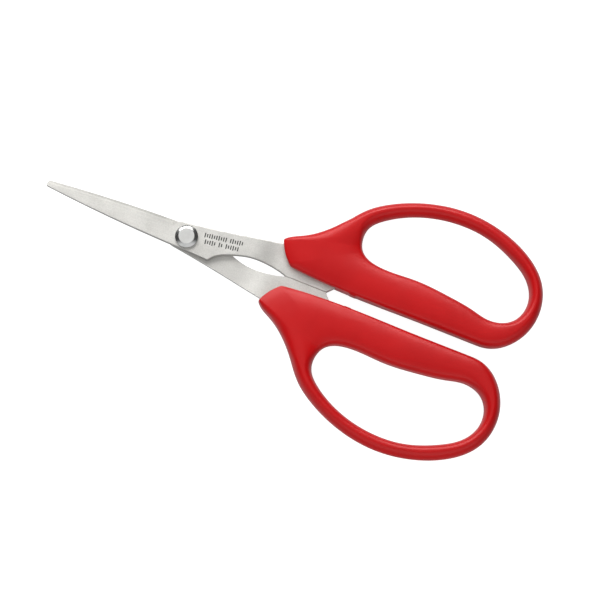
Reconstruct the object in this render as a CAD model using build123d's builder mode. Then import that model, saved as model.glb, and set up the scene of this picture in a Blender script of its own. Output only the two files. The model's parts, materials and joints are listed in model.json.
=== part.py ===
"""Floral snips: two stamped stainless blades on a riveted pivot, each with a moulded plastic finger grip.

Both halves have the same shape: the lower half is the upper half turned over about the long axis.
Everything is drawn about the pivot first. X runs from the tips towards the grips, the tool's long
axis is Y = 0, and the two blades meet in the plane Z = 0. The finished pieces are then moved so that
the origin is at the middle of the footprint, on the surface that the snips lie on. Millimetres.
"""

import os

from build123d import *

# Overall, measured from the pivot
TIP_X = -51.0  # blade tips
GRIP_THICKNESS = 10.0  # shoulder and grip bar, across the blades
BOW_THICKNESS = 7.6  # outermost point of each finger bow
BOW_START_Y = 16.0  # the grip is of even thickness up to here, then thins towards the bow
EDGE_RADIUS = 2.1  # moulded edges of the grips
MOUTH_RADIUS = 0.6  # edge where the steel enters the grip

# Blade stock
STEEL = 1.8  # sheet thickness
TIP_STEEL = 0.9  # ground down to this at the tip
TAPER_START_X = -9.0
BLADE_GAP = 0.02  # each blade's inner face stands this far off the meeting plane
JOGGLE = (24.0, 30.0)  # the stock steps over to the meeting plane here, so both tangs are level
JOGGLE_RADIUS = 25.0
TANG_END_X = 84.0
TANG_CORNER = 0.9  # rounded corners of the tang in plan
EDGE_BREAK = 0.25  # tumbled edges of the outer face
STOP_GAP = 0.03  # each stop edge stands this far off the long axis when the snips are shut
STOP_START_X = 36.0
STOP_END_X = 50.4

# Cutting edge
EDGE_LAND = 0.12  # steel left at the cutting edge
BEVEL_ANGLE = 42.0  # of the ground bevel, from the vertical
HOLLOW_RADIUS = 26.0  # the inner face is ground slightly hollow
HOLLOW_DEPTH = 0.20

# Pivot rivet and its washer
RIVET_RADIUS = 2.5
RIVET_CLEARANCE = 0.05  # all round the rivet in the front blade, which turns on it
HEAD_CLEARANCE = 0.03  # under the rivet's head
HEAD_RADIUS = 3.85
HEAD_TOP_RADIUS = 2.65
HEAD_HEIGHT = 1.6
HEAD_RIM = 0.8
WASHER_RADIUS = 3.9
WASHER_THICKNESS = 0.5
WASHER_CHAMFER = 0.12
TAIL_RADIUS = 3.2
TAIL_HEIGHT = 0.9

# Holes in each tang that the moulded grip flows through
LOCK_HOLES = [(44.0, 7.4), (62.0, 7.2), (77.0, 7.2)]
LOCK_HOLE_RADIUS = 1.8

INNER = BLADE_GAP
OUTER = BLADE_GAP + STEEL
REACH = 60.0  # longer than any cut needs to be

os.makedirs("parts", exist_ok=True)


# One stamped and ground blade with its tang, before the rivet hole is made
with BuildPart() as blade_blank:
    # Side view: flat stock, ground thinner to the tip, stepped down to the meeting plane at the tang
    with BuildSketch(Plane.XZ):
        with BuildLine():
            FilletPolyline(
                (TIP_X, INNER + TIP_STEEL),
                (TAPER_START_X, OUTER),
                (JOGGLE[0], OUTER),
                (JOGGLE[1], STEEL / 2),
                (TANG_END_X, STEEL / 2),
                radius=[60, JOGGLE_RADIUS, JOGGLE_RADIUS],
            )
            Line((TANG_END_X, STEEL / 2), (TANG_END_X, -STEEL / 2))
            FilletPolyline(
                (TANG_END_X, -STEEL / 2),
                (JOGGLE[1], -STEEL / 2),
                (JOGGLE[0], INNER),
                (TIP_X, INNER),
                radius=[JOGGLE_RADIUS, JOGGLE_RADIUS],
            )
            Line((TIP_X, INNER), (TIP_X, INNER + TIP_STEEL))
        make_face()
    extrude(amount=REACH, both=True)

    # Plan view: spine, choil, stop edge, hidden tang, neck and cutting edge
    with BuildSketch(Plane.XY):
        with BuildLine():
            tip_foot = (TIP_X + 0.35, -1.15)
            tip_head = (TIP_X + 0.6, 0.42)
            spine_end = (-5.0, -4.2)
            choil = (9.5, -4.75)
            stop_start = (STOP_START_X, STOP_GAP)
            cutting_end = (-6.6, 3.35)
            neck_start = (-3.6, 4.2)
            neck_end = (31.0, 10.2)
            ThreePointArc(tip_foot, (-28.0, -3.1), spine_end)
            Line(spine_end, choil)
            Spline(choil, (12.0, -2.1), (16.8, 0.05), (21.5, 1.35), (26.5, 1.7), (31.5, 1.25), stop_start)
            FilletPolyline(
                stop_start,
                (STOP_END_X, STOP_GAP),
                (53.0, 2.9),
                (55.0, 4.4),
                (TANG_END_X, 4.6),
                (TANG_END_X, 10.0),
                (56.0, 10.6),
                (44.0, 12.2),
                neck_end,
                radius=TANG_CORNER,
            )
            Spline(neck_end, (12.0, 6.6), neck_start)
            Line(neck_start, cutting_end)
            ThreePointArc(cutting_end, (-28.5, 2.3), tip_head)
            ThreePointArc(tip_head, (TIP_X, -0.35), tip_foot)
        make_face()
    extrude(amount=OUTER, both=True, mode=Mode.INTERSECT)

    # Ground bevel: above the land at the cutting edge, the steel slopes away from the edge
    with BuildSketch(Plane.XY.offset(INNER + EDGE_LAND)):
        with BuildLine():
            ThreePointArc(cutting_end, (-28.5, 2.3), tip_head)
            Polyline(tip_head, (TIP_X - 6, -0.1), (TIP_X - 6, 9.0), (-4.0, 9.0), cutting_end)
        make_face()
    extrude(amount=STEEL, taper=-BEVEL_ANGLE, mode=Mode.SUBTRACT)

    # The stamped edges of the outer face are tumbled round; the ground bevel stays sharp
    walls = blade_blank.faces().filter_by(lambda face: abs(face.normal_at().Z) < 0.2)
    outer_rim = walls.edges().filter_by(lambda edge: edge.center().Z > STEEL / 2 - 0.01)
    outer_rim = outer_rim.filter_by(lambda edge: abs(edge.tangent_at(0.5).Z) < 0.5)
    fillet(outer_rim.filter_by(lambda edge: edge.length > 2 * EDGE_BREAK), radius=EDGE_BREAK)

    # Hollow ground into the inner face from the spine, fading out towards the tip
    hollow_root = Vector(-9.0, -0.95, INNER + HOLLOW_DEPTH - HOLLOW_RADIUS)
    hollow_tip = Vector(TIP_X + 2.0, -0.45, INNER - HOLLOW_RADIUS)
    with BuildSketch(Plane(origin=hollow_root, z_dir=hollow_tip - hollow_root)):
        Circle(HOLLOW_RADIUS)
    extrude(amount=(hollow_tip - hollow_root).length, mode=Mode.SUBTRACT)

    # Holes that lock the moulded grip to the tang
    with Locations(*[(x, y, STEEL) for x, y in LOCK_HOLES]):
        Hole(LOCK_HOLE_RADIUS)


# One moulded grip: a shoulder over the tang that opens into a finger bow
with BuildPart() as grip_blank:
    mouth_top = (30.5, 11.5)
    mouth_foot = (36.1, 3.6)
    with BuildSketch(Plane.XY):
        with BuildLine():
            Spline(
                mouth_top,
                (33.0, 13.4),
                (35.8, 14.8),
                (42.3, 19.5),
                (47.6, 25.3),
                (52.7, 31.5),
                (59.1, 36.2),
                (69.6, 40.9),
                (85.2, 43.5),
                (97.1, 41.9),
                (108.1, 37.4),
                (116.8, 29.3),
                (119.3, 19.8),
                (116.7, 10.1),
                (111.3, 4.4),
                (103.6, 2.25),
            )
            Spline((103.6, 2.25), (78.0, 2.25), (50.0, 2.5), mouth_foot, tangents=[(-1, 0), (-1, 0.14)])
            ThreePointArc(mouth_foot, (32.9, 6.9), mouth_top)
        make_face()
        with BuildLine():
            Spline(
                (55.0, 22.9),
                (58.3, 16.2),
                (65.0, 14.5),
                (77.0, 14.9),
                (89.7, 13.9),
                (98.0, 12.6),
                (105.2, 11.3),
                (112.3, 14.7),
                (114.4, 22.2),
                (110.9, 29.2),
                (104.3, 33.7),
                (93.0, 37.9),
                (81.2, 38.5),
                (69.5, 35.9),
                (58.4, 29.6),
                periodic=True,
            )
        make_face(mode=Mode.SUBTRACT)
    extrude(amount=GRIP_THICKNESS, both=True)

    # Seen along the grip, both faces curve in towards the bow
    with BuildSketch(Plane.YZ):
        with BuildLine():
            half, bow_half = GRIP_THICKNESS / 2, BOW_THICKNESS / 2
            bow_y = 44.5
            Line((0, -half), (0, half))
            Line((0, half), (BOW_START_Y, half))
            TangentArc((BOW_START_Y, half), (bow_y, bow_half), tangent=(1, 0))
            Line((bow_y, bow_half), (bow_y, -bow_half))
            TangentArc((BOW_START_Y, -half), (bow_y, -bow_half), tangent=(1, 0))
            Line((BOW_START_Y, -half), (0, -half))
        make_face()
    extrude(amount=2 * REACH, both=True, mode=Mode.INTERSECT)

    # Moulded edges: generous all round, tight where the steel comes out of the mouth
    upright_half = GRIP_THICKNESS / 4
    wall_edges = grip_blank.edges().filter_by(lambda edge: abs(edge.center().Z) > upright_half)
    fillet(wall_edges.filter_by(GeomType.BSPLINE), radius=EDGE_RADIUS)
    mouth_face = grip_blank.faces().sort_by(Axis.X)[0]
    fillet(mouth_face.edges(), radius=MOUTH_RADIUS)

    # The tang is moulded in, so the plastic takes its exact shape and fills its lock holes
    add(blade_blank.part, mode=Mode.SUBTRACT)


# Where the finished pieces lie: footprint centred on the origin, grips resting on Z = 0
grip_end_x = grip_blank.part.bounding_box().max.X
REST = Location((-(TIP_X + grip_end_x) / 2, 0, GRIP_THICKNESS / 2))
TURNED_OVER = Location((0, 0, 0), (180, 0, 0))


# The upper grip carries the front blade, which turns on the rivet
with BuildPart() as front_blade:
    with Locations(REST):
        add(blade_blank.part)
        with Locations((0, 0, OUTER)):
            Hole(RIVET_RADIUS + RIVET_CLEARANCE)
front_blade.part.label = "front_blade"
export_step(front_blade.part, "parts/front_blade.step")

with BuildPart() as upper_handle:
    with Locations(REST):
        add(grip_blank.part)
upper_handle.part.label = "upper_handle"
export_step(upper_handle.part, "parts/upper_handle.step")


# The lower grip carries the rear blade, which holds the rivet
with BuildPart() as rear_blade:
    with Locations(REST * TURNED_OVER):
        add(blade_blank.part)
        with Locations((0, 0, OUTER)):
            Hole(RIVET_RADIUS)
rear_blade.part.label = "rear_blade"
export_step(rear_blade.part, "parts/rear_blade.step")

with BuildPart() as lower_handle:
    with Locations(REST * TURNED_OVER):
        add(grip_blank.part)
lower_handle.part.label = "lower_handle"
export_step(lower_handle.part, "parts/lower_handle.step")


# Washer on the rear face, between the rear blade and the riveted-over tail
with BuildPart() as pivot_washer:
    with Locations(REST * Location((0, 0, -OUTER - WASHER_THICKNESS))):
        Cylinder(WASHER_RADIUS, WASHER_THICKNESS, align=(Align.CENTER, Align.CENTER, Align.MIN))
        with Locations((0, 0, WASHER_THICKNESS)):
            Hole(RIVET_RADIUS)
    rear_rings = pivot_washer.edges().filter_by(GeomType.CIRCLE).group_by(Axis.Z)[0]
    chamfer(rear_rings.sort_by(SortBy.RADIUS)[-1], length=WASHER_CHAMFER)
pivot_washer.part.label = "pivot_washer"
export_step(pivot_washer.part, "parts/pivot_washer.step")


# Rivet: bevelled flat head in front, plain shank, domed tail spread over the washer
with BuildPart() as pivot_rivet:
    with BuildSketch(Plane(REST) * Plane.XZ):
        with BuildLine():
            head_z = OUTER + HEAD_CLEARANCE
            head_top_z = head_z + HEAD_HEIGHT
            tail_z = -OUTER - WASHER_THICKNESS
            bevel_start = (HEAD_RADIUS, head_z + HEAD_RIM)
            bevel_width = HEAD_RADIUS - HEAD_TOP_RADIUS
            bevel_middle = (HEAD_TOP_RADIUS + 0.67 * bevel_width, head_z + 0.7 * HEAD_HEIGHT)
            tail_foot = (0, tail_z - TAIL_HEIGHT)
            tail_middle = (0.7 * TAIL_RADIUS, tail_z - 0.66 * TAIL_HEIGHT)
            tail_rim = (TAIL_RADIUS, tail_z - 0.2 * TAIL_HEIGHT)
            Polyline((0, head_top_z), tail_foot)
            ThreePointArc(tail_foot, tail_middle, tail_rim)
            Polyline(
                tail_rim,
                (TAIL_RADIUS, tail_z),
                (RIVET_RADIUS, tail_z),
                (RIVET_RADIUS, head_z),
                (HEAD_RADIUS, head_z),
                bevel_start,
            )
            ThreePointArc(bevel_start, bevel_middle, (HEAD_TOP_RADIUS, head_top_z))
            Line((HEAD_TOP_RADIUS, head_top_z), (0, head_top_z))
        make_face()
    revolve(axis=Axis(REST.position, (0, 0, 1)))
pivot_rivet.part.label = "pivot_rivet"
export_step(pivot_rivet.part, "parts/pivot_rivet.step")
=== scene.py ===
"""Floral snips: satin stainless blades on a riveted pivot, with red moulded finger grips."""

import json
import math

import bmesh
import bpy
import numpy as np
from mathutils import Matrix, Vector


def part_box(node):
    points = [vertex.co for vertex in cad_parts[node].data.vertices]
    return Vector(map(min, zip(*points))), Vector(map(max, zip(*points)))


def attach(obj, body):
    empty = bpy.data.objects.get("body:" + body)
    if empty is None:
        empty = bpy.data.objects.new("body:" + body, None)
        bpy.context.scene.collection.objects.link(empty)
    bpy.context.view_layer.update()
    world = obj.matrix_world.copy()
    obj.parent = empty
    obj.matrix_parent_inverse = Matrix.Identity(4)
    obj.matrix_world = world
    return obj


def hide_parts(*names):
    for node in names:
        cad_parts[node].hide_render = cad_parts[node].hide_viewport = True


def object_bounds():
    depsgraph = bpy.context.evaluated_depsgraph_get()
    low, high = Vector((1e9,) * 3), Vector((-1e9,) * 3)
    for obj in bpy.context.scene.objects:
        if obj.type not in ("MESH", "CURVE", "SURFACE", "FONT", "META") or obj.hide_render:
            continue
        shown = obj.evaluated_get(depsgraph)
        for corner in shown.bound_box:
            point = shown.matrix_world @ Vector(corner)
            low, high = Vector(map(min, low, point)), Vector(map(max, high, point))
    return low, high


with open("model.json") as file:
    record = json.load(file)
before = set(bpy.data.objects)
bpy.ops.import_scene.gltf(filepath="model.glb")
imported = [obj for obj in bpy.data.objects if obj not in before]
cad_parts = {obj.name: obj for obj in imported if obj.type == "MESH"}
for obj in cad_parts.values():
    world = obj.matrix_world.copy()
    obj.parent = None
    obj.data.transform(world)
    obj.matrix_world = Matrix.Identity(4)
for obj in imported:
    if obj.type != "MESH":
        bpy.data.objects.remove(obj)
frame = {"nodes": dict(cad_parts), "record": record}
cad_low, cad_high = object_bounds()

MM = 0.001
pivot = Vector(frame["record"]["behaviour"]["joints"][0]["pos_m"])
MID_Z = pivot.z  # both grips and both tangs are centred on this height


# ---------------------------------------------------------------- lines in plan
def closed(points):
    return np.vstack([points, points[:1]])


def length_along(points):
    """Distance from the start of a line to each of its points."""
    return np.concatenate([[0.0], np.cumsum(np.linalg.norm(np.diff(points, axis=0), axis=1))])


def at_length(line, where, values=None):
    """The line's points, or other values given at its points, at distances along it."""
    along = length_along(line)
    columns = (line if values is None else values).T
    return np.stack([np.interp(where, along, c) for c in columns], axis=1)


def evenly(points, step):
    total = length_along(points)[-1]
    return at_length(points, np.linspace(0, total, int(total / step) + 1))


def across(points):
    """Unit vectors to the right of a line's direction of travel."""
    run = np.gradient(points, axis=0)
    run /= np.linalg.norm(run, axis=1)[:, None]
    return np.stack([run[:, 1], -run[:, 0]], axis=1)


def smoothed(values, sigma, periodic):
    """Gaussian smoothing; sigma counts samples. The ends of an open line stay put."""
    reach = int(math.ceil(3 * sigma))
    kernel = np.exp(-0.5 * (np.arange(-reach, reach + 1) / sigma) ** 2)
    kernel /= kernel.sum()
    rows = values.reshape(len(values), -1)
    if periodic:
        rows = np.concatenate([rows[-reach:], rows, rows[:reach]])
    else:
        before = 2 * rows[0] - rows[reach:0:-1]
        after = 2 * rows[-1] - rows[-2 : -reach - 2 : -1]
        rows = np.concatenate([before, rows, after])
    return np.stack([np.convolve(c, kernel, mode="valid") for c in rows.T], axis=1).reshape(values.shape)


def nearest(points, line):
    """For each point, its distance to a line, and how far along the line the nearest place is."""
    along, run = length_along(line), np.diff(line, axis=0)
    best, where = np.full(len(points), np.inf), np.zeros(len(points))
    gap = np.linalg.norm(points[:, None, :] - line[None, :, :], axis=2)
    k = gap.argmin(axis=1)
    for first in (np.clip(k - 1, 0, len(run) - 1), np.clip(k, 0, len(run) - 1)):
        away = points - line[first]
        t = np.clip((away * run[first]).sum(1) / (run[first] ** 2).sum(1), 0, 1)
        d = np.linalg.norm(away - run[first] * t[:, None], axis=1)
        closer = d < best
        best = np.where(closer, d, best)
        where = np.where(closer, along[first] + t * (along[first + 1] - along[first]), where)
    return best, where


def ease(x):
    x = np.clip(x, 0.0, 1.0)
    return x * x * (3 - 2 * x)


def quarter(x):
    """Quarter circle: 0 and upright at 0, 1 and level at 1."""
    return np.sqrt(1 - (1 - np.clip(x, 0.0, 1.0)) ** 2)


# ---------------------------------------------------------------- moulded grips
OUTLINE_ABOVE = 1.9 * MM  # the outline is read this far above the middle, clear of tang and rounding
SAMPLE = 0.2 * MM  # between the points of an outline
SOFTEN = 5  # samples over which an outline's facets are smoothed
MOUTH_TOP_LIES = (-1.0, 0.35)  # the mouth's top corner is the outline's furthest point this way in plan
MOUTH_FOOT_LIES = (-0.5, -1.0)  # and its foot is the furthest this way
INSET = 0.07 * MM  # leaves room for the mould line inside the outline
BOW_HALF = 3.7 * MM  # half thickness at the outside of the bow
BOW_START, BOW_END = 16.0 * MM, 43.5 * MM  # the grip thins between these distances from the long axis
UPRIGHT = 0.2  # at least this part of the half thickness is upright at the middle, before the crown
ROUND_TALL = 1.8  # the moulded rounding is an ellipse this many times as tall as it is wide
ROUND_WIDE = 1.4 * MM  # its width on the shoulder and grip bar,
ROUND_BOW = 2.25 * MM  # on the bow,
ROUND_TIGHT = 0.7 * MM  # next to the mouth,
ROUND_MOUTH = 0.55 * MM  # and round the mouth itself
ROUND_SHARE = 0.45  # each rounded edge has at most this share of a section's width
BOW_WIDTHS = (9.0 * MM, 6.0 * MM)  # from bar to bow as the grip narrows between these widths
WIDENS_TOP = (1.0 * MM, 20.0 * MM)  # tight to wide between these distances from the mouth, on the shoulder
WIDENS_FOOT = (20.0 * MM, 52.0 * MM)  # and along the gap between the grips
CROWN = 1.6 * MM  # the edges of the grip bar lie this much lower than its middle
BAR_WIDTH = 13.4 * MM  # where the crown is that high
CROWN_KEPT = 0.25  # the smaller this is, the narrower a section has to be to lose its crown
MOULD_LINE = 0.05 * MM  # height and half width of the ridge where the mould's halves met
MOULD_LINE_HALF = 0.14 * MM
GATE_AT = 23.0 * MM  # the moulding gate's mark, from the mouth along the gap
GATE_HALF = 1.4 * MM
GATE_PROUD = 0.28 * MM
GATE_TALL = 1.8 * MM
GATE_FADES = (0.5 * MM, 0.8 * MM)  # at its ends, and above and below it
SHOULDER_SPREAD = 5.0 * MM  # how far round the hole the shoulder's sections are spread

# The mesh's sections stand this far apart, and further apart with the distance from a corner or the gate
SPACING_CORNER, SPACING_GATE, SPACING_MOST = 0.2 * MM, 0.3 * MM, 1.1 * MM
SPREAD_RIM, SPREAD_GATE, SPREAD_MOUTH = 0.09, 0.5, 0.15
ROWS_ROUND_EDGE = (0, 12, 25, 39, 54, 71, 90)  # degrees round each rounded edge
ROWS_BETWEEN = 7  # rows between the two rounded edges


def cut_loops(node, z):
    """Closed outlines of a CAD node at height z, as arrays of points, the longest first."""
    bm = bmesh.new()
    bm.from_mesh(frame["nodes"][node].data)
    bmesh.ops.remove_doubles(bm, verts=bm.verts, dist=1e-7)
    whole = bm.verts[:] + bm.edges[:] + bm.faces[:]
    cut = bmesh.ops.bisect_plane(bm, geom=whole, plane_co=(0, 0, z), plane_no=(0, 0, 1))["geom_cut"]
    edges = {e: None for e in cut if isinstance(e, bmesh.types.BMEdge)}  # a dict, because it keeps its order
    loops = []
    while edges:
        edge, _ = edges.popitem()
        start, at = edge.verts
        points = [start.co.xy]
        while at is not start:
            points.append(at.co.xy)
            edge = next(e for e in at.link_edges if e in edges)
            del edges[edge]
            at = edge.other_vert(at)
        loops.append(np.array(points))
    bm.free()
    return sorted(loops, key=lambda p: -length_along(closed(p))[-1])


def over_the_bow(loop):
    """The loop, turned if need be to run over the bow first and back along the grip bar."""
    x, y = loop.T
    clockwise = np.sum(x * np.roll(y, -1) - np.roll(x, -1) * y) < 0
    return loop if clockwise else loop[::-1]


def grip_plan(node):
    """The grip's side, +1 or -1, and three lines in plan, all as if that side were +1.

    They are its rim, from the mouth's top corner round the bow and back to the mouth's foot, then its
    mouth, from the foot to the top corner, and its hole.
    """
    outer, hole = cut_loops(node, MID_Z + OUTLINE_ABOVE)[:2]
    side = 1.0 if outer[:, 1].mean() > 0 else -1.0
    outer, hole = (evenly(closed(over_the_bow(loop * (1, side))), SAMPLE)[:-1] for loop in (outer, hole))
    outer = np.roll(outer, -np.argmax(outer @ MOUTH_TOP_LIES), axis=0)
    foot = np.argmax(outer @ MOUTH_FOOT_LIES)
    rim = smoothed(outer[: foot + 1], SOFTEN, periodic=False)
    mouth = np.vstack([outer[foot:], outer[:1]])
    rim, mouth = (line + INSET * across(line) for line in (rim, mouth))
    mouth[0], mouth[-1] = rim[-1], rim[0]
    return side, rim, mouth, smoothed(hole, SOFTEN, periodic=True)


def rounding(width):
    """Width of the rounded edges where the grip is this wide."""
    bow = ease((width - BOW_WIDTHS[0]) / (BOW_WIDTHS[1] - BOW_WIDTHS[0]))
    return ROUND_WIDE + (ROUND_BOW - ROUND_WIDE) * bow


def grip_height(points, rim, mouth, hole):
    """Height of the moulded surface above the grip's middle at points in plan."""
    to_rim, along = nearest(points, rim)
    to_mouth, _ = nearest(points, mouth)
    to_hole, _ = nearest(points, hole)
    thin = np.clip((points[:, 1] - BOW_START) / (BOW_END - BOW_START), 0, 1) ** 2
    half = (cad_high.z - cad_low.z) / 2 * (1 - thin) + BOW_HALF * thin
    from_foot = length_along(rim)[-1] - along
    wide = np.minimum(
        ease((along - WIDENS_TOP[0]) / (WIDENS_TOP[1] - WIDENS_TOP[0])),
        ease((from_foot - WIDENS_FOOT[0]) / (WIDENS_FOOT[1] - WIDENS_FOOT[0])),
    )
    height = half.copy()
    full = rounding(to_rim + to_hole)
    for distance, radius in ((to_rim, ROUND_TIGHT + (full - ROUND_TIGHT) * wide), (to_hole, full)):
        radius = np.minimum(radius, (to_rim + to_hole) / 2)
        upright = np.maximum(UPRIGHT, 1 - ROUND_TALL * radius / half)
        height *= upright + (1 - upright) * quarter(distance / radius)
    return height - ROUND_MOUTH * (1 - quarter(to_mouth / ROUND_MOUTH))


def stations(length, spacing, samples=4000):
    """Places along a line, closer together where spacing(place) is smaller, both ends included."""
    fine = np.linspace(0, length, samples)
    count = np.concatenate([[0.0], np.cumsum(np.diff(fine) / spacing((fine[1:] + fine[:-1]) / 2))])
    return np.interp(np.linspace(0, count[-1], int(math.ceil(count[-1])) + 1), count, fine)


def places_round(rim_length, mouth_length, gate):
    """Where the sections start: places along the rim, and along the mouth without its ends."""

    def rim_spacing(s):
        from_corner = SPACING_CORNER + SPREAD_RIM * np.minimum(s, rim_length - s)
        from_gate = SPACING_GATE + SPREAD_GATE * np.maximum(np.abs(s - gate) - GATE_HALF, 0)
        return np.minimum(np.minimum(from_corner, from_gate), SPACING_MOST)

    def mouth_spacing(s):
        return SPACING_CORNER + SPREAD_MOUTH * np.minimum(s, mouth_length - s)

    return stations(rim_length, rim_spacing), stations(mouth_length, mouth_spacing)[1:-1]


def facing_places(places, rim, hole, whole):
    """The hole as a closed line, and how far along it each section ends.

    A section ends near the part of the hole that it is closest to, evened out round the shoulder.
    """
    _, facing = nearest(hole, rim)
    first = facing.argmin()
    hole, facing = np.roll(hole, -first, axis=0), np.roll(facing, -first)
    turn = np.arange(len(hole)) / len(hole)
    facing = smoothed(facing - whole * turn, SHOULDER_SPREAD / SAMPLE, periodic=True) + whole * turn
    facing = np.concatenate([facing - whole, facing, facing + whole])
    turn = np.concatenate([turn - 1, turn, turn + 1])
    hole = closed(hole)
    return hole, np.interp(places, facing, turn) % 1.0 * length_along(hole)[-1]


def ring_mesh(name, plan, heights, side):
    """An object of quads, closed both ways round, from rings of points in plan and their heights."""
    count, rings = len(plan[0]), len(plan)
    bm = bmesh.new()
    grid = []
    for points, up in zip(plan, heights):
        grid.append([bm.verts.new((x, side * y, MID_Z + z)) for (x, y), z in zip(points, up)])
    for j in range(rings):
        for i in range(count):
            a, b = grid[j], grid[(j + 1) % rings]
            bm.faces.new((a[i], a[(i + 1) % count], b[(i + 1) % count], b[i]))
    bmesh.ops.recalc_face_normals(bm, faces=bm.faces)
    mesh = bpy.data.meshes.new(name)
    bm.to_mesh(mesh)
    bm.free()
    mesh.shade_smooth()
    made = bpy.data.objects.new(name, mesh)
    bpy.context.scene.collection.objects.link(made)
    return made


def grip_object(name, node):
    """The moulded grip: cross-sections from its outside to its hole, all the way round."""
    side, rim, mouth, hole = grip_plan(node)
    rim_length, mouth_length = length_along(rim)[-1], length_along(mouth)[-1]
    gate = rim_length - GATE_AT
    on_rim, on_mouth = places_round(rim_length, mouth_length, gate)
    places = np.concatenate([on_rim, rim_length + on_mouth])
    outside = np.vstack([at_length(rim, on_rim), at_length(mouth, on_mouth)])
    outward = -np.vstack([at_length(rim, on_rim, across(rim)), at_length(mouth, on_mouth, across(mouth))])
    hole, on_hole = facing_places(places, rim, hole, rim_length + mouth_length)
    inside = at_length(hole, on_hole)
    into_hole = at_length(hole, on_hole, across(hole))

    # Rows from the outside to the hole: close together over the two rounded edges
    run = inside - outside
    width = np.linalg.norm(run, axis=1)
    from_mouth = ease(np.minimum(places, np.abs(rim_length - places)) / WIDENS_TOP[1])
    full = rounding(width)
    starts_on_rim = np.arange(len(places)) < len(on_rim)
    round_out = np.where(starts_on_rim, ROUND_TIGHT + (full - ROUND_TIGHT) * from_mouth, ROUND_MOUTH)
    edge_out = np.minimum(round_out, ROUND_SHARE * width) / width
    edge_in = np.minimum(full, ROUND_SHARE * width) / width
    steps = 1 - np.cos(np.radians(ROWS_ROUND_EDGE))
    between = np.linspace(0, 1, ROWS_BETWEEN + 2)[1:-1]
    shares = [edge_out * step for step in steps]
    shares += [edge_out + (1 - edge_out - edge_in) * t for t in between]
    shares += [1 - edge_in * step for step in steps[::-1]]
    top = [outside + run * share[:, None] for share in shares]
    broad = (width / BAR_WIDTH) ** 2
    crown = CROWN * (1 + CROWN_KEPT) * broad / (CROWN_KEPT + broad)
    sunk = [crown * (1 - 2 * share) ** 2 for share in shares]
    # On the slimmest stretches of the bow the crown takes the first and last rows lower than the foot of
    # the mould line's ridge, so the wall doubles back there by up to 0.3 mm
    rise = [grip_height(row, rim, mouth, hole) - lower for row, lower in zip(top, sunk)]

    # Upright sides below the rounding, with the mould line's ridge round the middle
    middle = np.zeros(len(places))
    foot = middle + MOULD_LINE_HALF
    plan = [outside + MOULD_LINE * outward, outside, outside]
    plan += top + [inside, inside, inside + MOULD_LINE * into_hole]
    heights = [middle, foot, rise[0] / 2] + rise + [rise[-1] / 2, foot, middle]
    bump = ease((GATE_HALF - np.abs(places - gate)) / GATE_FADES[0])
    for k in range(5):  # the outer side's rows and the first two of the rounding
        low = 1 - ease((heights[k] - GATE_TALL) / GATE_FADES[1])
        plan[k] = plan[k] + (GATE_PROUD * bump * low)[:, None] * outward

    # The lower half mirrors the upper one
    plan += plan[-2:0:-1]
    heights += [-z for z in heights[-2:0:-1]]
    return ring_mesh(name, plan, heights, side)


# ---------------------------------------------------------------- materials
class Shader:
    """Builds one material from nodes."""

    def __init__(self, name, **values):
        self.material = bpy.data.materials.new(name)
        self.material.use_nodes = True
        self.tree = self.material.node_tree
        self.surface = self.tree.nodes["Principled BSDF"]
        for socket, value in values.items():
            self.surface.inputs[socket.replace("_", " ")].default_value = value
        self.place = self.tree.nodes.new("ShaderNodeTexCoord").outputs["Object"]

    def node(self, kind, inputs=(), **settings):
        made = self.tree.nodes.new("ShaderNode" + kind)
        for name, value in settings.items():
            setattr(made, name, value)
        for socket, value in dict(inputs).items():
            if isinstance(value, bpy.types.NodeSocket):
                self.tree.links.new(value, made.inputs[socket])
            else:
                made.inputs[socket].default_value = value
        return made

    def mapped(self, scale, location=(0, 0, 0)):
        """Object coordinates, moved and then scaled."""
        shift = self.node("VectorMath", {0: self.place, 1: location}, operation="SUBTRACT").outputs[0]
        return self.node("VectorMath", {0: shift, 1: scale}, operation="MULTIPLY").outputs[0]

    def noise(self, vector, scale, detail=2.0, low=0.35, high=0.65):
        """Noise stretched so that low to high becomes 0 to 1."""
        noise = self.node("TexNoise", {"Vector": vector, "Scale": scale, "Detail": detail}).outputs["Fac"]
        stretch = {"Value": noise, "From Min": low, "From Max": high}
        return self.node("MapRange", stretch).outputs["Result"]

    def between(self, factor, low, high):
        return self.node("MapRange", {"Value": factor, "To Min": low, "To Max": high}).outputs["Result"]

    def blend(self, factor, first, second):
        mix = self.node("Mix", data_type="RGBA")
        self.tree.links.new(factor, mix.inputs[0])
        mix.inputs[6].default_value, mix.inputs[7].default_value = first, second
        return mix.outputs[2]

    def set(self, socket, output):
        self.tree.links.new(output, self.surface.inputs[socket])

    def bump(self, height, distance, strength=1.0, under=None):
        inputs = {"Height": height, "Distance": distance, "Strength": strength}
        if under is not None:
            inputs["Normal"] = under
        return self.node("Bump", inputs).outputs["Normal"]


def red_plastic():
    """Semi-gloss moulded plastic: faint mottling in the colour, a fine grain, and gently uneven gloss."""
    s = Shader("red_moulded_plastic", IOR=1.49, Specular_IOR_Level=0.5, Specular_Tint=(1.0, 0.45, 0.45, 1))
    cloud = s.noise(s.place, 70.0)
    s.set("Base Color", s.blend(cloud, (0.41, 0.003, 0.004, 1), (0.45, 0.004, 0.005, 1)))
    s.set("Roughness", s.between(s.noise(s.place, 260.0, 3.0), 0.32, 0.40))
    grain = s.noise(s.place, 4200.0, 1.0)
    waves = s.noise(s.place, 160.0, 1.0)
    s.set("Normal", s.bump(grain, 0.004 * MM, under=s.bump(waves, 0.02 * MM)))
    return s.material


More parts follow.
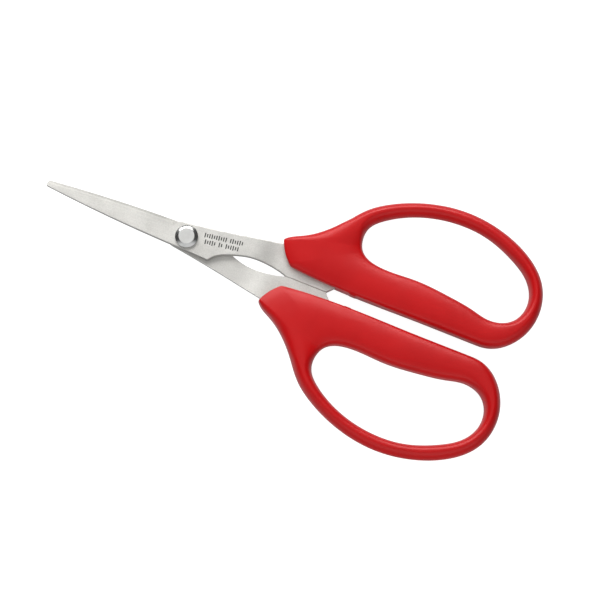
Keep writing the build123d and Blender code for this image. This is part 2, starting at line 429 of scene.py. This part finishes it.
def satin_steel():
    """Ground stainless sheet: long fine scratches that vary both the gloss and the tone."""
    s = Shader("satin_stainless", Metallic=1.0)
    scratches = s.noise(s.mapped((120, 5200, 5200)), 1.0, 3.0)
    cross = s.noise(s.mapped((4200, 260, 4200)), 1.0, 2.0)
    cloud = s.between(s.noise(s.place, 140.0), 0.0, 0.5)
    specks = s.between(s.noise(s.place, 2600.0), 0.0, 0.5)
    tone = s.node("Math", {0: cloud, 1: specks}, operation="ADD").outputs[0]
    s.set("Base Color", s.blend(tone, (0.505, 0.497, 0.472, 1), (0.640, 0.630, 0.600, 1)))
    s.set("Roughness", s.between(scratches, 0.48, 0.60))
    s.set("Normal", s.bump(scratches, 0.0015 * MM, under=s.bump(cross, 0.001 * MM)))
    return s.material


def turned_steel():
    """Rivet and washer: fine rings left by turning, satin on the flats and polished on the bevels."""
    s = Shader("turned_stainless", Metallic=1.0)
    centred = s.mapped((1, 1, 0), (pivot.x, pivot.y, 0))
    radius = s.node("VectorMath", {0: centred}, operation="LENGTH").outputs["Value"]
    by_radius = {"W": radius, "Scale": 9000.0, "Detail": 2.0}
    rings = s.node("TexNoise", by_radius, noise_dimensions="1D").outputs["Fac"]
    cloud = s.noise(s.place, 400.0)
    s.set("Base Color", s.blend(cloud, (0.58, 0.58, 0.565, 1), (0.64, 0.64, 0.625, 1)))
    normal = s.node("NewGeometry").outputs["Normal"]
    upward = s.node("SeparateXYZ", {0: normal}).outputs["Z"]
    level = s.node("Math", {0: upward}, operation="ABSOLUTE").outputs[0]
    flat = s.node("MapRange", {"Value": level, "From Min": 0.96, "From Max": 0.995}).outputs["Result"]
    satin = s.between(rings, 0.34, 0.44)
    polish = s.between(flat, 0.6, 1.0)
    s.set("Roughness", s.node("Math", {0: polish, 1: satin}, operation="MULTIPLY").outputs[0])
    s.set("Normal", s.bump(rings, 0.0015 * MM))
    return s.material


def etched_oxide():
    """Matt dark marks etched into the steel, uneven in depth."""
    s = Shader("etched_marks", Metallic=0.3)
    patches = s.noise(s.place, 2500.0)
    s.set("Base Color", s.blend(patches, (0.020, 0.020, 0.019, 1), (0.085, 0.082, 0.076, 1)))
    s.set("Roughness", s.between(patches, 0.5, 0.7))
    return s.material


def studio_paper():
    """Matt white paper with a faint mottling, lit to nearly the white of the background."""
    s = Shader("studio_paper", Roughness=0.9, Emission_Color=(1, 1, 1, 1), Emission_Strength=0.95)
    fibres = s.noise(s.place, 30.0, 3.0)
    s.set("Base Color", s.blend(fibres, (0.29, 0.29, 0.29, 1), (0.31, 0.31, 0.31, 1)))
    return s.material


def dress(piece, material):
    piece.data.materials.clear()
    piece.data.materials.append(material)


# ---------------------------------------------------------------- the pieces
plastic, steel, rivet_steel = red_plastic(), satin_steel(), turned_steel()
for node, body in (("upper_handle", "upper_half"), ("lower_handle", "lower_half")):
    grip = grip_object(node.replace("handle", "grip"), node)
    dress(grip, plastic)
    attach(grip, body)
    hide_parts(node)

for node in ("front_blade", "rear_blade"):
    dress(frame["nodes"][node], steel)
for node in ("pivot_rivet", "pivot_washer"):
    dress(frame["nodes"][node], rivet_steel)


# Two rows of plain tally strokes etched in the front blade's neck, where the real one is marked
MARK_ROWS = (  # the first stroke's place from the pivot in mm, places in the row, and those left empty
    ((5.6, 2.85), 17, (10,)),
    ((6.5, 0.75), 15, (5, 8)),
)
MARK_SLOPE = math.radians(8.5)
MARK_PITCH = 0.80 * MM
MARK_WIDTH = 0.40 * MM
MARK_HEIGHTS = (1.65 * MM, 1.15 * MM, 1.45 * MM)  # in turn
MARK_PROUD = 0.006 * MM
MARK_CORNERS = ((-0.5, -0.5), (0.5, -0.5), (0.5, 0.5), (-0.5, 0.5))


def etched_marks():
    """All the strokes as one object: thin closed slabs, half sunk in the blade's upper face."""
    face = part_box("front_blade")[1].z
    along = Vector((math.cos(MARK_SLOPE), math.sin(MARK_SLOPE), 0))
    up = Vector((-along.y, along.x, 0))
    bm = bmesh.new()
    for (x, y), places, gaps in MARK_ROWS:
        for k in range(places):
            if k in gaps:
                continue
            middle = Vector((pivot.x + x * MM, pivot.y + y * MM, face)) + along * MARK_PITCH * k
            tall = MARK_HEIGHTS[k % len(MARK_HEIGHTS)]
            corners = [middle + along * MARK_WIDTH * a + up * tall * b for a, b in MARK_CORNERS]
            low = [bm.verts.new(corner - Vector((0, 0, MARK_PROUD))) for corner in corners]
            high = [bm.verts.new(corner + Vector((0, 0, MARK_PROUD))) for corner in corners]
            bm.faces.new(high)
            bm.faces.new(low[::-1])
            for i in range(4):
                bm.faces.new((low[i], low[(i + 1) % 4], high[(i + 1) % 4], high[i]))
    mesh = bpy.data.meshes.new("etched_marks")
    bm.to_mesh(mesh)
    bm.free()
    marks = bpy.data.objects.new("etched_marks", mesh)
    bpy.context.scene.collection.objects.link(marks)
    return marks


marks = etched_marks()
dress(marks, etched_oxide())
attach(marks, "upper_half")


# ---------------------------------------------------------------- studio
centre = (cad_low + cad_high) / 2
length = cad_high.x - cad_low.x
TURN, TILT = math.radians(22.0), math.radians(78.0)  # the camera's azimuth and its height above the horizon
right = Vector((math.cos(TURN), math.sin(TURN), 0))
onward = Vector((-math.sin(TURN), math.cos(TURN), 0))  # up in the picture, along the floor
back = Vector((0, 0, math.sin(TILT))) - onward * math.cos(TILT)

FLOOR_HALF = 6 * length
floor_mesh = bpy.data.meshes.new("studio_floor")
corners = [(x * FLOOR_HALF, y * FLOOR_HALF) for x, y in ((-1, -1), (1, -1), (1, 1), (-1, 1))]
floor_mesh.from_pydata([(x, y, cad_low.z) for x, y in corners], [], [(0, 1, 2, 3)])
floor = bpy.data.objects.new("studio_floor", floor_mesh)
bpy.context.scene.collection.objects.link(floor)
dress(floor, studio_paper())
floor.visible_glossy = floor.visible_diffuse = False  # the air below the horizon lights the object instead


def softbox(name, towards, distance, width, height, power):
    """An area light that faces the object from the direction (right, onward, up).

    Its distance, width and height are in lengths of the object, and its power is in watts.
    """
    way = (right * towards[0] + onward * towards[1] + Vector((0, 0, towards[2]))).normalized()
    light = bpy.data.lights.new(name, "AREA")
    light.shape = "RECTANGLE"
    light.size, light.size_y, light.energy = width * length, height * length, power
    lamp = bpy.data.objects.new(name, light)
    lamp.location = centre + way * distance * length
    lamp.rotation_mode = "QUATERNION"
    lamp.rotation_quaternion = way.to_track_quat("Z", "Y")
    bpy.context.scene.collection.objects.link(lamp)
    return lamp


softbox("key_softbox", (-0.15, 1.0, 0.62), 4.5, 5.5, 3.2, 9.6)
softbox("overhead_fill", (0.0, 0.2, 1.0), 4.0, 5.0, 4.0, 1.42)
near_fill = softbox("near_fill", (0.0, -1.0, 0.4), 4.5, 7.0, 3.0, 3.0)
near_fill.visible_glossy = False  # lifts the shadowed side without a second highlight


# How bright the air is, as seen in reflections and as diffuse light, and behind the floor's edge
AIR_ABOVE, AIR_ABOVE_NEAR = 0.06, 0.90  # above the horizon: away from the camera, and towards it
AIR_BELOW_NEAR, AIR_BELOW_FAR = 0.22, 0.68  # below the horizon
AIR_UNDER = 0.55  # straight down
AIR_SHOWN = 0.9  # to the camera
AIR_COLOUR = (0.97, 0.98, 1.0, 1)
UP = Vector((0, 0, 1))


def studio_air():
    """The surroundings: bright above the horizon on the near side, and below it on the far side."""
    world = bpy.data.worlds.new("studio_air")
    world.use_nodes = True
    nodes, links = world.node_tree.nodes, world.node_tree.links
    direction = nodes.new("ShaderNodeTexCoord").outputs["Generated"]

    def part(way):
        """How much of the direction lies along another."""
        made = nodes.new("ShaderNodeVectorMath")
        made.operation = "DOT_PRODUCT"
        made.inputs[1].default_value = way.normalized()
        links.new(direction, made.inputs[0])
        return made.outputs["Value"]

    def ramp(value, start, end, low, high):
        """From low to high as the value goes from start to end. Low and high are numbers or sockets."""
        made = nodes.new("ShaderNodeMapRange")
        links.new(value, made.inputs["Value"])
        for socket, number in (("From Min", start), ("From Max", end), ("To Min", low), ("To Max", high)):
            if isinstance(number, bpy.types.NodeSocket):
                links.new(number, made.inputs[socket])
            else:
                made.inputs[socket].default_value = number
        return made.outputs["Result"]

    below = ramp(part(onward - right * 0.4), -0.45, -0.05, AIR_BELOW_NEAR, AIR_BELOW_FAR)
    below = ramp(part(-UP), 0.85, 0.97, below, AIR_UNDER)
    above = ramp(part(-onward), 0.2, 0.6, AIR_ABOVE, AIR_ABOVE_NEAR)
    all_round = ramp(part(UP), 0.02, -0.06, above, below)
    is_camera = nodes.new("ShaderNodeLightPath").outputs["Is Camera Ray"]
    links.new(ramp(is_camera, 0.0, 1.0, all_round, AIR_SHOWN), nodes["Background"].inputs["Strength"])
    nodes["Background"].inputs["Color"].default_value = AIR_COLOUR
    return world


bpy.context.scene.world = studio_air()
bpy.context.scene.view_settings.view_transform = "Standard"

# The object lies a little up and to the left in the picture
PICTURE_WIDTH = 1.179 * length
AIM_RIGHT, AIM_ONWARD = 0.0375 * length, -0.0502 * length  # from the object's centre
camera = bpy.data.cameras.new("camera")
camera.lens, camera.sensor_width = 150, 36
aim = centre + right * AIM_RIGHT + onward * AIM_ONWARD
eye = bpy.data.objects.new("camera", camera)
eye.location = aim + back * PICTURE_WIDTH * camera.lens / camera.sensor_width
eye.rotation_mode = "QUATERNION"
eye.rotation_quaternion = back.to_track_quat("Z", "Y")
camera.clip_start, camera.clip_end = 0.1, 10.0
bpy.context.scene.collection.objects.link(eye)
bpy.context.scene.camera = eye
